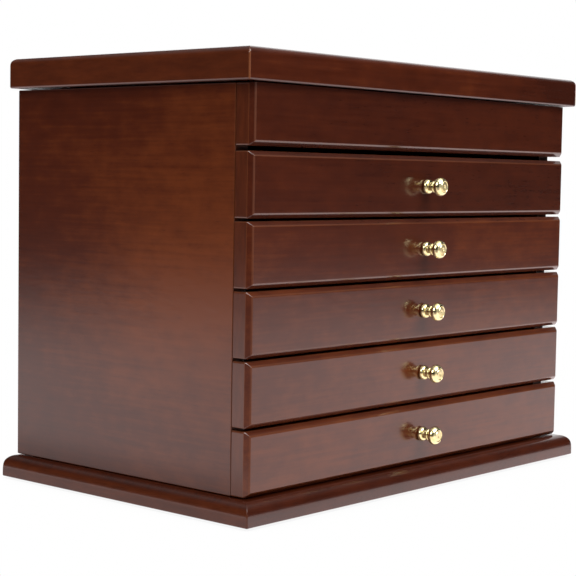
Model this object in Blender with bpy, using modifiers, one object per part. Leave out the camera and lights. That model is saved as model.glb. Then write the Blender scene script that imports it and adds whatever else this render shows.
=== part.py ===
"""Jewellery chest: five drawers under a lift-up lid that covers a top tray.

Metres, +Z up, front towards -Y. The origin is on the surface that the chest stands on, at the
centre of its footprint from the knob tips to the back edge of the base board.
"""
import math

import bmesh
import bpy
from mathutils import Vector

# ---------------------------------------------------------------- driving dimensions
GAP = 0.0003               # glue line or rest gap between two pieces that touch

FRONT_Y = -0.1037          # face of the drawer fronts and of the false front rail
FRONT_WIDTH = 0.350
FRONT_HEIGHT = 0.0406
FRONT_THICK = 0.0134
FRONT_CHAMFER = 0.0032
FRONT_EASE = 0.0005
DRAWER_COUNT = 5
DRAWER_PITCH = 0.04225

FELT_THICK = 0.0009
FELT_INSET = 0.006
BASE_Z = FELT_THICK + GAP  # underside of the base board
BASE_THICK = 0.0148
BASE_HALF_WIDTH = 0.184
BASE_FRONT_Y = FRONT_Y - 0.009
BASE_BACK_Y = 0.1190
BASE_ROUND = 0.0085

SIDE_HALF_WIDTH = 0.1745   # outer faces of the side panels
SIDE_THICK = 0.012
CARCASS_FRONT_Y = FRONT_Y + 0.0140
CARCASS_BACK_Y = FRONT_Y + 0.2179
CARCASS_TOP_Z = BASE_Z + 0.2656
SIDE_EASE = 0.0007
BACK_THICK = 0.009
BACK_RECESS = 0.001

LID_HALF_WIDTH = 0.1825
LID_FRONT_Y = FRONT_Y - 0.0045
LID_BOTTOM_Z = CARCASS_TOP_Z + 0.0008
LID_THICK = 0.0201
LID_ROUND = 0.0048
CORNER_EASE = 0.0012
LOWER_EASE = 0.0013

RAIL_BOTTOM_Z = BASE_Z + 0.2280
TRAY_FLOOR_THICK = 0.004
TRAY_LINING_THICK = 0.0022
DIVIDER_THICK = 0.004
DIVIDER_TOP_Z = BASE_Z + 0.2570
LONG_DIVIDER_X = -0.056
CROSS_DIVIDER_Y = 0.010
RING_PAD_HEIGHT = 0.0200

BOX_HALF_WIDTH = 0.1613    # outer faces of a drawer's side boards
BOX_BOARD = 0.008
BOX_HEIGHT = 0.0322
BOX_BACK_Y = 0.1000
BOX_EASE = 0.0010
BOTTOM_THICK = 0.003
BOTTOM_RISE = 0.0025       # underside of a drawer bottom above its front's lower edge
BOTTOM_LUG = 0.0042        # how far a bottom reaches past the side boards into its groove
GROOVE_DEPTH = 0.0038
GROOVE_PLAY = 0.0004
LINING_THICK = 0.0025
LINING_PLAY = 0.0005

MIRROR_HALF = (0.140, 0.072)
MIRROR_THICK = 0.002
MIRROR_CENTRE_Y = 0.006
FRAME_WIDTH = 0.013
FRAME_THICK = 0.0046
FRAME_LIP = 0.003          # how far the frame laps over the mirror's edge

HINGE_X = 0.110
HINGE_LENGTH = 0.030
HINGE_AXIS_Y = CARCASS_BACK_Y + 0.0026
HINGE_AXIS_Z = 0.5 * (CARCASS_TOP_Z + LID_BOTTOM_Z)
HINGE_RADIUS = 0.0021
HINGE_BORE = 0.0011
HINGE_LEAF_THICK = 0.0009
HINGE_LEAF_REACH = 0.0112  # from the pin's axis to the leaf's free edge
HINGE_KNUCKLE_HALF = 0.0049
PIN_RADIUS = 0.0010

# knob profile, millimetres: (radius, distance out from the drawer front)
KNOB_PROFILE = (
    (0.0, 15.15), (1.2, 15.3), (3.0, 15.2), (3.5, 14.85), (3.9, 15.0), (5.2, 14.2),
    (6.1, 12.9), (6.3, 11.8), (6.05, 10.5), (5.2, 9.2), (3.5, 8.5), (3.0, 8.2),
    (3.85, 7.8), (3.85, 7.1), (3.0, 6.7), (3.0, 4.5), (4.3, 3.9), (4.95, 2.8),
    (5.0, 1.7), (4.75, 0.8), (4.3, 0.3), (2.2, 0.3), (2.2, 6.0), (0.0, 6.0),
)
KNOB_STEPS = 20
MM = 0.001
SCREW_SEAT = -(FRONT_THICK + GAP) / MM
# knob screw profile, millimetres: (radius, distance out from the drawer front)
SCREW_PROFILE = (
    (0.0, 5.6), (1.6, 5.4), (1.9, 5.0), (1.9, SCREW_SEAT), (3.8, SCREW_SEAT),
    (3.7, SCREW_SEAT - 1.0), (2.6, SCREW_SEAT - 1.9), (0.0, SCREW_SEAT - 2.2),
)
SCREW_STEPS = 14
SCREW_HOLE_RADIUS = 0.0022

DARK_WOOD = ("stained_wood", (0.085, 0.022, 0.011), 0.22, 0.0)
BOX_WOOD = ("drawer_wood", (0.110, 0.035, 0.016), 0.45, 0.0)
BRASS = ("polished_brass", (0.80, 0.58, 0.24), 0.14, 1.0)
STEEL = ("zinc_steel", (0.60, 0.60, 0.58), 0.35, 1.0)
VELVET = ("velvet", (0.055, 0.006, 0.012), 0.95, 0.0)
FELT = ("base_felt", (0.020, 0.012, 0.010), 1.0, 0.0)
GLASS = ("mirror_glass", (0.85, 0.87, 0.88), 0.03, 1.0)


# ---------------------------------------------------------------- scene and collections
def clear_scene():
    for obj in list(bpy.data.objects):
        bpy.data.objects.remove(obj, do_unlink=True)


def new_collection(name):
    collection = bpy.data.collections.new(name)
    bpy.context.scene.collection.children.link(collection)
    return collection


clear_scene()
PARTS = new_collection("jewellery_chest")
CUTTERS = new_collection("cutters")


def material(spec):
    name, colour, roughness, metallic = spec
    mat = bpy.data.materials.get(name)
    if mat is None:
        mat = bpy.data.materials.new(name)
        mat.use_nodes = True
        shader = mat.node_tree.nodes["Principled BSDF"]
        shader.inputs["Base Color"].default_value = (*colour, 1.0)
        shader.inputs["Roughness"].default_value = roughness
        shader.inputs["Metallic"].default_value = metallic
    return mat


# ---------------------------------------------------------------- shape helpers
def add_object(name, mesh, centre, spec, parent=None):
    """Link a part at a world position, held by the empty on its joint's axis if it has one."""
    obj = bpy.data.objects.new(name, mesh)
    PARTS.objects.link(obj)
    if parent is None:
        obj.location = centre
    else:
        obj.parent = parent
        obj.location = Vector(centre) - parent.location
    mesh.materials.append(material(spec))
    return obj


def box_mesh(name, size):
    mesh = bpy.data.meshes.new(name)
    bm = bmesh.new()
    bmesh.ops.create_cube(bm, size=1.0)
    bmesh.ops.scale(bm, vec=size, verts=bm.verts)
    bm.to_mesh(mesh)
    bm.free()
    return mesh


def add_box(name, low, high, spec, parent=None):
    low = Vector(low)
    high = Vector(high)
    return add_object(name, box_mesh(name, high - low), (low + high) / 2, spec, parent)


def add_cutter(name, mesh, centre):
    """A Boolean operand, kept out of the part's own collection."""
    obj = bpy.data.objects.new(name, mesh)
    obj.location = centre
    obj.hide_render = True
    obj.display_type = "WIRE"
    CUTTERS.objects.link(obj)
    return obj


def box_cutter(name, low, high):
    low = Vector(low)
    high = Vector(high)
    return add_cutter(name, box_mesh(name, high - low), (low + high) / 2)


def rod_cutter(name, centre, radius, length, axis, segments=24):
    """A plain cylinder along X or Y."""
    mesh = bpy.data.meshes.new(name)
    bm = bmesh.new()
    bmesh.ops.create_cone(bm, cap_ends=True, segments=segments, radius1=radius,
                          radius2=radius, depth=length)
    bm.to_mesh(mesh)
    bm.free()
    obj = add_cutter(name, mesh, centre)
    if axis == "X":
        obj.rotation_euler = (0.0, math.pi / 2, 0.0)
    else:
        obj.rotation_euler = (math.pi / 2, 0.0, 0.0)
    return obj


def boolean(obj, other, operation="DIFFERENCE"):
    modifier = obj.modifiers.new(f"{operation.lower()}_{other.name}", "BOOLEAN")
    modifier.operation = operation
    modifier.object = other


def ease_all(obj, width, segments=2):
    modifier = obj.modifiers.new("eased_edges", "BEVEL")
    modifier.width = width
    modifier.segments = segments
    modifier.limit_method = "ANGLE"
    modifier.angle_limit = math.radians(30)


def shape_edges(obj, width, segments, weights):
    """Bevel chosen edges. weights: (test on both ends, share of width) pairs."""
    mesh = obj.data
    layer = mesh.attributes.new("bevel_weight_edge", "FLOAT", "EDGE")
    for edge in mesh.edges:
        ends = [mesh.vertices[index].co for index in edge.vertices]
        for test, share in weights:
            if all(test(end) for end in ends):
                layer.data[edge.index].value = share
    modifier = obj.modifiers.new("shaped_edges", "BEVEL")
    modifier.width = width
    modifier.segments = segments
    modifier.limit_method = "WEIGHT"


def rounded_board(name, low, high, top_round, spec, parent=None):
    """A board with a large round-over above, eased corners and an eased lower edge."""
    board = add_box(name, low, high, spec, parent)
    half = max(vertex.co.z for vertex in board.data.vertices)
    corner = CORNER_EASE / top_round
    lower = LOWER_EASE / top_round
    shape_edges(board, top_round, 6, (
        (lambda end: True, corner),
        (lambda end: end.z > half * 0.99, 1.0),
        (lambda end: end.z < -half * 0.99, lower),
    ))
    return board


def turned(name, profile, steps, centre, spec, parent):
    """A turned piece on an axis along -Y, from a (radius, height) profile in millimetres."""
    mesh = bpy.data.meshes.new(name)
    bm = bmesh.new()
    points = [bm.verts.new((radius * MM, 0.0, height * MM)) for radius, height in profile]
    for first, second in zip(points, points[1:]):
        bm.edges.new((first, second))
    bm.to_mesh(mesh)
    bm.free()
    obj = add_object(name, mesh, centre, spec, parent)
    obj.rotation_euler = (math.pi / 2, 0.0, 0.0)
    screw = obj.modifiers.new("turned", "SCREW")
    screw.steps = steps
    screw.render_steps = steps
    screw.use_merge_vertices = True
    screw.merge_threshold = 0.00001
    screw.use_smooth_shade = True
    return obj


def joint_empty(name, location):
    empty = bpy.data.objects.new(name, None)
    empty.empty_display_size = 0.02
    empty.location = location
    PARTS.objects.link(empty)
    return empty


# ---------------------------------------------------------------- carcass
def front_bottom(number):
    """Lower edge of a drawer front; drawer 1 is at the top."""
    return BASE_Z + 0.0154 + (DRAWER_COUNT - number) * DRAWER_PITCH


def build_base():
    add_box("base_felt",
            (-BASE_HALF_WIDTH + FELT_INSET, BASE_FRONT_Y + FELT_INSET, 0.0),
            (BASE_HALF_WIDTH - FELT_INSET, BASE_BACK_Y - FELT_INSET, FELT_THICK), FELT)
    rounded_board("base_board", (-BASE_HALF_WIDTH, BASE_FRONT_Y, BASE_Z),
                  (BASE_HALF_WIDTH, BASE_BACK_Y, BASE_Z + BASE_THICK), BASE_ROUND, DARK_WOOD)


def groove_cutter(side):
    """Five grooves in a side panel's inner face, which the drawer bottoms run in."""
    inner = SIDE_HALF_WIDTH - SIDE_THICK
    mouth = inner - 0.002
    floor = inner + GROOVE_DEPTH
    mesh = bpy.data.meshes.new("grooves")
    bm = bmesh.new()
    for number in range(1, DRAWER_COUNT + 1):
        low_z = front_bottom(number) + BOTTOM_RISE - GROOVE_PLAY
        high_z = low_z + BOTTOM_THICK + 2 * GROOVE_PLAY
        low_y = CARCASS_FRONT_Y - 0.002
        high_y = BOX_BACK_Y + 0.001
        cube = bmesh.ops.create_cube(bm, size=1.0)["verts"]
        size = (floor - mouth, high_y - low_y, high_z - low_z)
        centre = (side * (mouth + floor) / 2, (low_y + high_y) / 2, (low_z + high_z) / 2)
        bmesh.ops.scale(bm, vec=size, verts=cube)
        bmesh.ops.translate(bm, vec=centre, verts=cube)
    bm.to_mesh(mesh)
    bm.free()
    return add_cutter(f"grooves_{'left' if side < 0 else 'right'}", mesh, (0.0, 0.0, 0.0))


def build_side_panel(name, side):
    inner = side * (SIDE_HALF_WIDTH - SIDE_THICK)
    outer = side * SIDE_HALF_WIDTH
    panel = add_box(name,
                    (min(inner, outer), CARCASS_FRONT_Y, BASE_Z + BASE_THICK + GAP),
                    (max(inner, outer), CARCASS_BACK_Y, CARCASS_TOP_Z), DARK_WOOD)
    ease_all(panel, SIDE_EASE)
    boolean(panel, groove_cutter(side))


def build_back_panel():
    half = SIDE_HALF_WIDTH - SIDE_THICK - GAP
    back_y = CARCASS_BACK_Y - BACK_RECESS
    panel = add_box("back_panel", (-half, back_y - BACK_THICK, BASE_Z + BASE_THICK + GAP),
                    (half, back_y, CARCASS_TOP_Z), DARK_WOOD)
    for side in (-1, 1):
        recess = box_cutter(f"back_recess_{'left' if side < 0 else 'right'}",
                            (side * HINGE_X - HINGE_LENGTH / 2 - GAP,
                             HINGE_AXIS_Y - HINGE_LEAF_REACH - GAP,
                             HINGE_AXIS_Z - GAP - HINGE_LEAF_THICK - GAP),
                            (side * HINGE_X + HINGE_LENGTH / 2 + GAP,
                             back_y + 0.002, CARCASS_TOP_Z + 0.002))
        boolean(panel, recess)


def build_top_rail():
    """False front of the top tray, glued to the side panels' front edges."""
    rail = add_box("top_rail", (-SIDE_HALF_WIDTH, FRONT_Y, RAIL_BOTTOM_Z),
                   (SIDE_HALF_WIDTH, CARCASS_FRONT_Y - GAP, CARCASS_TOP_Z), DARK_WOOD)
    half_y = max(vertex.co.y for vertex in rail.data.vertices)
    half_z = max(vertex.co.z for vertex in rail.data.vertices)
    shape_edges(rail, FRONT_CHAMFER, 1, (
        (lambda end: end.y < -half_y * 0.99, 1.0),
        (lambda end: end.y < -half_y * 0.99 and end.z > half_z * 0.99, 0.0),
    ))
    ease_all(rail, FRONT_EASE)


def build_tray():
    """The floor, lining, dividers and ring pad of the tray under the lid."""
    half = SIDE_HALF_WIDTH - SIDE_THICK - GAP
    front_y = CARCASS_FRONT_Y
    back_y = CARCASS_BACK_Y - BACK_RECESS - BACK_THICK - GAP
    floor_top = RAIL_BOTTOM_Z + TRAY_FLOOR_THICK
    lining_top = floor_top + GAP + TRAY_LINING_THICK
    stand = lining_top + GAP
    add_box("tray_floor", (-half, front_y, RAIL_BOTTOM_Z), (half, back_y, floor_top), BOX_WOOD)
    add_box("tray_lining", (-half + GAP, front_y + GAP, floor_top + GAP),
            (half - GAP, back_y - GAP, lining_top), VELVET)
    long_divider = add_box("tray_divider_long",
                           (LONG_DIVIDER_X - DIVIDER_THICK / 2, front_y, stand),
                           (LONG_DIVIDER_X + DIVIDER_THICK / 2, back_y, DIVIDER_TOP_Z), BOX_WOOD)
    ease_all(long_divider, BOX_EASE)
    cross_divider = add_box("tray_divider_cross",
                            (LONG_DIVIDER_X + DIVIDER_THICK / 2 + GAP,
                             CROSS_DIVIDER_Y - DIVIDER_THICK / 2, stand),
                            (half, CROSS_DIVIDER_Y + DIVIDER_THICK / 2, DIVIDER_TOP_Z), BOX_WOOD)
    ease_all(cross_divider, BOX_EASE)
    rolls = add_box("ring_rolls", (-half + 2 * GAP, front_y + 2 * GAP, stand),
                    (LONG_DIVIDER_X - DIVIDER_THICK / 2 - 2 * GAP, back_y - 2 * GAP,
                     stand + RING_PAD_HEIGHT), VELVET)
    ease_all(rolls, 0.003)


# ---------------------------------------------------------------- lid and hinges
def build_lid(axis):
    lid = rounded_board("lid_board", (-LID_HALF_WIDTH, LID_FRONT_Y, LID_BOTTOM_Z),
                        (LID_HALF_WIDTH, CARCASS_BACK_Y, LID_BOTTOM_Z + LID_THICK),
                        LID_ROUND, DARK_WOOD, axis)
    for side in (-1, 1):
        recess = box_cutter(f"lid_recess_{'left' if side < 0 else 'right'}",
                            (side * HINGE_X - HINGE_LENGTH / 2 - GAP,
                             HINGE_AXIS_Y - HINGE_LEAF_REACH - GAP, LID_BOTTOM_Z - 0.002),
                            (side * HINGE_X + HINGE_LENGTH / 2 + GAP, CARCASS_BACK_Y + 0.002,
                             HINGE_AXIS_Z + GAP + HINGE_LEAF_THICK + GAP))
        boolean(lid, recess)
    build_mirror(axis)


def build_mirror(axis):
    """A mirror against the lid's underside, held by a rebated frame."""
    half_x, half_y = MIRROR_HALF
    top = LID_BOTTOM_Z - GAP
    mirror = add_box("mirror", (-half_x, MIRROR_CENTRE_Y - half_y, top - MIRROR_THICK),
                     (half_x, MIRROR_CENTRE_Y + half_y, top), GLASS, axis)
    ease_all(mirror, 0.0003, 1)

    outer_x = half_x + FRAME_WIDTH - FRAME_LIP
    outer_y = half_y + FRAME_WIDTH - FRAME_LIP
    frame = add_box("mirror_frame", (-outer_x, MIRROR_CENTRE_Y - outer_y, top - FRAME_THICK),
                    (outer_x, MIRROR_CENTRE_Y + outer_y, top), DARK_WOOD, axis)
    half_z = FRAME_THICK / 2
    shape_edges(frame, 0.0022, 4, ((lambda end: end.z < -half_z * 0.99, 1.0),))
    sight_x = half_x - FRAME_LIP
    sight_y = half_y - FRAME_LIP
    sight = box_cutter("frame_opening",
                       (-sight_x, MIRROR_CENTRE_Y - sight_y, top - 2 * FRAME_THICK),
                       (sight_x, MIRROR_CENTRE_Y + sight_y, top + FRAME_THICK))
    boolean(frame, sight)
    rebate = box_cutter("frame_rebate",
                        (-half_x - GAP, MIRROR_CENTRE_Y - half_y - GAP,
                         top - MIRROR_THICK - GAP),
                        (half_x + GAP, MIRROR_CENTRE_Y + half_y + GAP, top + FRAME_THICK))
    boolean(frame, rebate)


def build_hinge_leaf(name, x, above, knuckles, parent=None):
    """One leaf of a butt hinge. above: +1 for the lid's leaf, -1 for the carcass's leaf."""
    near = HINGE_AXIS_Z + above * GAP
    far = HINGE_AXIS_Z + above * (GAP + HINGE_LEAF_THICK)
    low_z = min(near, far)
    high_z = max(near, far)
    plate_end_y = HINGE_AXIS_Y - HINGE_RADIUS - GAP
    leaf = add_box(name, (x - HINGE_LENGTH / 2, HINGE_AXIS_Y - HINGE_LEAF_REACH, low_z),
                   (x + HINGE_LENGTH / 2, plate_end_y, high_z), BRASS, parent)
    for index, (start, stop) in enumerate(knuckles):
        tab = box_cutter(f"{name}_tab_{index}", (x + start, plate_end_y - 0.001, low_z),
                         (x + stop, HINGE_AXIS_Y, high_z))
        boolean(leaf, tab, "UNION")
        barrel = rod_cutter(f"{name}_barrel_{index}",
                            (x + (start + stop) / 2, HINGE_AXIS_Y, HINGE_AXIS_Z),
                            HINGE_RADIUS, stop - start, "X")
        boolean(leaf, barrel, "UNION")
    bore = rod_cutter(f"{name}_bore", (x, HINGE_AXIS_Y, HINGE_AXIS_Z), HINGE_BORE,
                      HINGE_LENGTH + 0.004, "X")
    boolean(leaf, bore)


def build_hinges(axis):
    half = HINGE_LENGTH / 2
    inner = HINGE_KNUCKLE_HALF
    outer_knuckles = ((-half, -inner - GAP), (inner + GAP, half))
    middle_knuckle = ((-inner, inner),)
    for side, word in ((-1, "left"), (1, "right")):
        x = side * HINGE_X
        build_hinge_leaf(f"box_hinge_leaf_{word}", x, -1, outer_knuckles)
        build_hinge_leaf(f"lid_hinge_leaf_{word}", x, 1, middle_knuckle, axis)
        mesh = bpy.data.meshes.new("hinge_pin")
        bm = bmesh.new()
        bmesh.ops.create_cone(bm, cap_ends=True, segments=24, radius1=PIN_RADIUS,
                              radius2=PIN_RADIUS, depth=HINGE_LENGTH + 0.001)
        bm.to_mesh(mesh)
        bm.free()
        pin = add_object(f"hinge_pin_{word}", mesh, (x, HINGE_AXIS_Y, HINGE_AXIS_Z), BRASS)
        pin.rotation_euler = (0.0, math.pi / 2, 0.0)


# ---------------------------------------------------------------- drawers
def build_drawer(number):
    bottom_z = front_bottom(number)
    centre_z = bottom_z + FRONT_HEIGHT / 2
    face = (0.0, FRONT_Y, centre_z)
    slide = joint_empty(f"drawer_{number}_slide_axis", face)
    prefix = f"drawer_{number}"

    front = add_box(f"{prefix}_front", (-FRONT_WIDTH / 2, FRONT_Y, bottom_z),
                    (FRONT_WIDTH / 2, FRONT_Y + FRONT_THICK, bottom_z + FRONT_HEIGHT),
                    DARK_WOOD, slide)
    shape_edges(front, FRONT_CHAMFER, 1,
                ((lambda end: end.y < -FRONT_THICK * 0.49, 1.0),))
    ease_all(front, FRONT_EASE)
    hole = rod_cutter(f"{prefix}_screw_hole", (0.0, FRONT_Y + FRONT_THICK / 2, centre_z),
                      SCREW_HOLE_RADIUS, 2 * FRONT_THICK, "Y", 14)
    boolean(front, hole)

    panel_low = bottom_z + BOTTOM_RISE
    panel_high = panel_low + BOTTOM_THICK
    board_low = panel_high + GAP
    board_high = board_low + BOX_HEIGHT
    box_front_y = FRONT_Y + FRONT_THICK + GAP
    inner_x = BOX_HALF_WIDTH - BOX_BOARD

    for word, low_x in (("left", -BOX_HALF_WIDTH), ("right", inner_x)):
        side = add_box(f"{prefix}_side_{word}", (low_x, box_front_y, board_low),
                       (low_x + BOX_BOARD, BOX_BACK_Y, board_high), BOX_WOOD, slide)
        ease_all(side, BOX_EASE)
    back = add_box(f"{prefix}_back", (-inner_x + GAP, BOX_BACK_Y - BOX_BOARD, board_low),
                   (inner_x - GAP, BOX_BACK_Y, board_high), BOX_WOOD, slide)
    ease_all(back, BOX_EASE)
    reach_x = BOX_HALF_WIDTH + BOTTOM_LUG
    add_box(f"{prefix}_bottom", (-reach_x, box_front_y, panel_low),
            (reach_x, BOX_BACK_Y, panel_high), BOX_WOOD, slide)
    lining_x = inner_x - LINING_PLAY
    add_box(f"{prefix}_lining", (-lining_x, box_front_y + LINING_PLAY, board_low),
            (lining_x, BOX_BACK_Y - BOX_BOARD - LINING_PLAY, board_low + LINING_THICK),
            VELVET, slide)

    turned(f"{prefix}_knob", KNOB_PROFILE, KNOB_STEPS, face, BRASS, slide)
    turned(f"{prefix}_knob_screw", SCREW_PROFILE, SCREW_STEPS, face, STEEL, slide)


# ---------------------------------------------------------------- assembly
def build_chest():
    build_base()
    build_side_panel("side_panel_left", -1)
    build_side_panel("side_panel_right", 1)
    build_back_panel()
    build_top_rail()
    build_tray()
    lid_axis = joint_empty("lid_hinge_axis", (0.0, HINGE_AXIS_Y, HINGE_AXIS_Z))
    build_lid(lid_axis)
    build_hinges(lid_axis)
    for number in range(1, DRAWER_COUNT + 1):
        build_drawer(number)


build_chest()
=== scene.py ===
"""Looks of the jewellery chest with five drawers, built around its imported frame.

Metres, +Z up, front towards -Y, on a pale studio floor at z = 0. Boards are built again with fine
chamfers and round-overs inside the boxes of their CAD nodes, the knobs are turned finely, and the
velvet linings, pads and ring rolls stand in for the plain soft solids.
"""
import math

import bmesh
import bpy
from mathutils import Matrix, Vector, noise


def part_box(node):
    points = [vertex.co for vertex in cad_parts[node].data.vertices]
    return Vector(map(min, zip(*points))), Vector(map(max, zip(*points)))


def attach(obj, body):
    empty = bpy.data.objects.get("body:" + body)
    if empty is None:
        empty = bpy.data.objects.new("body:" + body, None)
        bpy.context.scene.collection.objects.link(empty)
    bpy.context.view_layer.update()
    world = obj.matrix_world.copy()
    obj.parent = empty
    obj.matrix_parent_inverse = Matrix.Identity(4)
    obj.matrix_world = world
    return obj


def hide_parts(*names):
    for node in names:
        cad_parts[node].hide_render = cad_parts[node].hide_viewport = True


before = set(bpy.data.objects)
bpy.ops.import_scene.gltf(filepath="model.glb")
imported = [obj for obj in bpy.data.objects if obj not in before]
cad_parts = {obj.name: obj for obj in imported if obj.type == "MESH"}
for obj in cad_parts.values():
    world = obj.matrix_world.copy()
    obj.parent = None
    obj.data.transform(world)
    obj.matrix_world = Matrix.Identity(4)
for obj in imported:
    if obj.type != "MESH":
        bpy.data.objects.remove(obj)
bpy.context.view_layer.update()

MM = 0.001
GAP = 0.0003               # clearance that touching pieces keep
DRAWERS = range(1, 6)      # drawer 1 is at the top

# shapes of the stained boards, as in the frame
FRONT_CHAMFER = 0.0032
FRONT_INNER_RISE = 0.00075   # the chamfer's inner third is a little flatter than the rest
FRONT_INNER_REACH = 0.00225
FRONT_INNER_ROUND = 0.0007
FRONT_OUTER_ROUND = 0.0007
FRONT_CORNER = 0.0011
FRONT_BACK_EASE = 0.0004
MITRE_ROUND = 0.0002
BASE_ROUND = 0.0085
BASE_ROUND_DROP = 0.0112
BASE_LOWER_ROUND = 0.0009
BASE_ROUND_ONSET = 1.3       # over 1, the round-over begins more gently
LID_ROUND = 0.0048
CORNER_EASE = 0.0012
LOWER_EASE = 0.0013
PANEL_EASE = 0.0007
THIN_EASE = 0.0004
BOX_EASE = 0.0010
GROOVE_PLAY = 0.0004       # round a drawer bottom's edge
GROOVE_END_PLAY = 0.0010   # behind it, when the drawer is shut
OVERCUT = 0.0020           # how far a cutter sticks out past the face that it cuts
RECESS_OVERCUT = 0.0005
LEAF_THICK = 0.0009        # hinge plates

X, Y, Z = 0, 1, 2


# ---------- node helpers
def connect(tree, socket, value):
    """Set a socket to a constant, or link another node's output to it."""
    if isinstance(value, bpy.types.NodeSocket):
        tree.links.new(value, socket)
    else:
        socket.default_value = value


def add_node(tree, kind, inputs=None, **settings):
    """A shader node. inputs: socket name or number to a constant or to another node's output."""
    node = tree.nodes.new(kind)
    for name, value in settings.items():
        setattr(node, name, value)
    for name, value in (inputs or {}).items():
        connect(tree, node.inputs[name], value)
    return node


def calc(tree, operation, *values):
    """A Math node's output."""
    node = add_node(tree, "ShaderNodeMath", operation=operation)
    for socket, value in zip(node.inputs, values):
        connect(tree, socket, value)
    return node.outputs[0]


def ease_between(tree, value, low, high, to_low=0.0, to_high=1.0):
    """Smooth step of value from low to high, giving to_low to to_high."""
    node = add_node(tree, "ShaderNodeMapRange",
                    {"Value": value, "From Min": low, "From Max": high,
                     "To Min": to_low, "To Max": to_high}, interpolation_type="SMOOTHSTEP")
    return node.outputs[0]


def blend_colours(tree, share, first, second):
    """Mix of two colours, share 0 being all of the first."""
    node = add_node(tree, "ShaderNodeMix", data_type="RGBA")
    connect(tree, node.inputs["Factor"], share)
    for socket, value in ((node.inputs[6], first), (node.inputs[7], second)):
        connect(tree, socket, value if isinstance(value, bpy.types.NodeSocket) else (*value, 1.0))
    return node.outputs[2]


def ramp(tree, value, stops):
    """Colour ramp through (position, colour) stops."""
    node = add_node(tree, "ShaderNodeValToRGB", {"Fac": value})
    elements = node.color_ramp.elements
    while len(elements) < len(stops):
        elements.new(0.5)
    for element, (position, colour) in zip(elements, stops):
        element.position = position
        element.color = (*colour, 1.0)
    return node.outputs["Color"]


def grain_noise(tree, place, axis, stretch, scale, detail, seed):
    """Noise, 0 to 1, in so many cells a metre, drawn out by stretch along an axis or none."""
    squeeze = [1.0, 1.0, 1.0]
    if axis is not None:
        squeeze[axis] = 1.0 / stretch
    moved = add_node(tree, "ShaderNodeMapping",
                     {"Vector": place, "Scale": squeeze,
                      "Location": (seed * 1.31, seed * 0.73, seed * 0.47)})
    pattern = add_node(tree, "ShaderNodeTexNoise",
                       {"Vector": moved.outputs[0], "Scale": scale, "Detail": detail,
                        "Roughness": 0.55})
    return pattern.outputs["Fac"]


def bump(tree, height, distance):
    """Normal bumped by height, 0 to 1, times distance in metres."""
    return add_node(tree, "ShaderNodeBump", {"Height": height, "Distance": distance}).outputs[0]


def dot(tree, place, way):
    """Dot product of a place or heading with a constant direction."""
    node = add_node(tree, "ShaderNodeVectorMath", {0: place, 1: way}, operation="DOT_PRODUCT")
    return node.outputs["Value"]


def axis_part(tree, place, axis):
    """One coordinate of a vector."""
    return add_node(tree, "ShaderNodeSeparateXYZ", {0: place}).outputs[axis]


def new_material(name, constants):
    """A Principled material. constants: values that are the same all over the surface."""
    mat = bpy.data.materials.new(name)
    mat.use_nodes = True
    shader = mat.node_tree.nodes["Principled BSDF"]
    for socket, value in constants.items():
        shader.inputs[socket].default_value = value
    return mat, mat.node_tree, shader


def object_place(tree):
    """A point's place in its object's own coordinates."""
    return add_node(tree, "ShaderNodeTexCoord").outputs["Object"]


def set_surface(tree, shader, colour, roughness, relief, depth):
    """Link colour, roughness and a relief, depth metres deep, to a Principled shader."""
    connect(tree, shader.inputs["Base Color"], colour)
    connect(tree, shader.inputs["Roughness"], roughness)
    connect(tree, shader.inputs["Normal"], bump(tree, relief, depth))


# ---------- materials
STAIN_DARK = (0.030, 0.0052, 0.0018)
STAIN_MID = (0.054, 0.0096, 0.0026)
STAIN_WARM = (0.120, 0.0270, 0.0055)
# paler colour of the arrises: partly worn stain, partly a painted highlight
ARRIS_WEAR_AND_HIGHLIGHT = (0.150, 0.0480, 0.0160)
END_DARK = (0.050, 0.0104, 0.0030)
END_LIGHT = (0.086, 0.0182, 0.0048)
BOX_DARK = (0.070, 0.020, 0.009)
BOX_MID = (0.135, 0.045, 0.020)
BOX_LIGHT = (0.215, 0.085, 0.038)
BOX_END = (0.060, 0.019, 0.009)
BOX_RUBBED = (0.230, 0.095, 0.045)


def wood_figure(tree, place, grain, seed):
    """Clouds of stain, streaks along the grain and short dark vessels, each about 0 to 1."""
    wide = grain_noise(tree, place, grain, 2.2, 14.0, 3.0, seed)
    curl = grain_noise(tree, place, grain, 1.6, 95.0, 3.0, seed + 7.0)
    cloud = calc(tree, "MULTIPLY_ADD", curl, 0.45, calc(tree, "MULTIPLY", wide, 0.55))
    streak = grain_noise(tree, place, grain, 26.0, 430.0, 3.0, seed + 5.0)
    vessel = grain_noise(tree, place, grain, 9.0, 1100.0, 1.0, seed + 9.0)
    flecks = ease_between(tree, vessel, 0.64, 0.76)
    return cloud, streak, flecks


def surface_masks(tree, grain, coords, round_over=False):
    """How far a point is end grain, and how far it lies on an arris. A flat 45 degree chamfer
    isn't one, but the roundings at its sides are. A board with a wide round-over only has
    upright arrises."""
    turned = add_node(tree, "ShaderNodeVectorMath", {0: coords.outputs["Normal"]},
                      operation="ABSOLUTE")
    parts = add_node(tree, "ShaderNodeSeparateXYZ", {0: turned.outputs[0]})
    end_grain = ease_between(tree, parts.outputs[grain], 0.75, 0.95)
    widest = calc(tree, "MAXIMUM", parts.outputs[0], parts.outputs[1])
    widest = calc(tree, "MAXIMUM", widest, parts.outputs[2])
    edge = ease_between(tree, widest, 0.985, 0.95)
    if round_over:
        level = calc(tree, "MINIMUM", parts.outputs[0], parts.outputs[1])
        edge = calc(tree, "MULTIPLY", edge, ease_between(tree, level, 0.15, 0.30))
    else:
        edge = calc(tree, "MULTIPLY", edge, ease_between(tree, widest, 0.75, 0.81))
    return end_grain, edge


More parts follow.
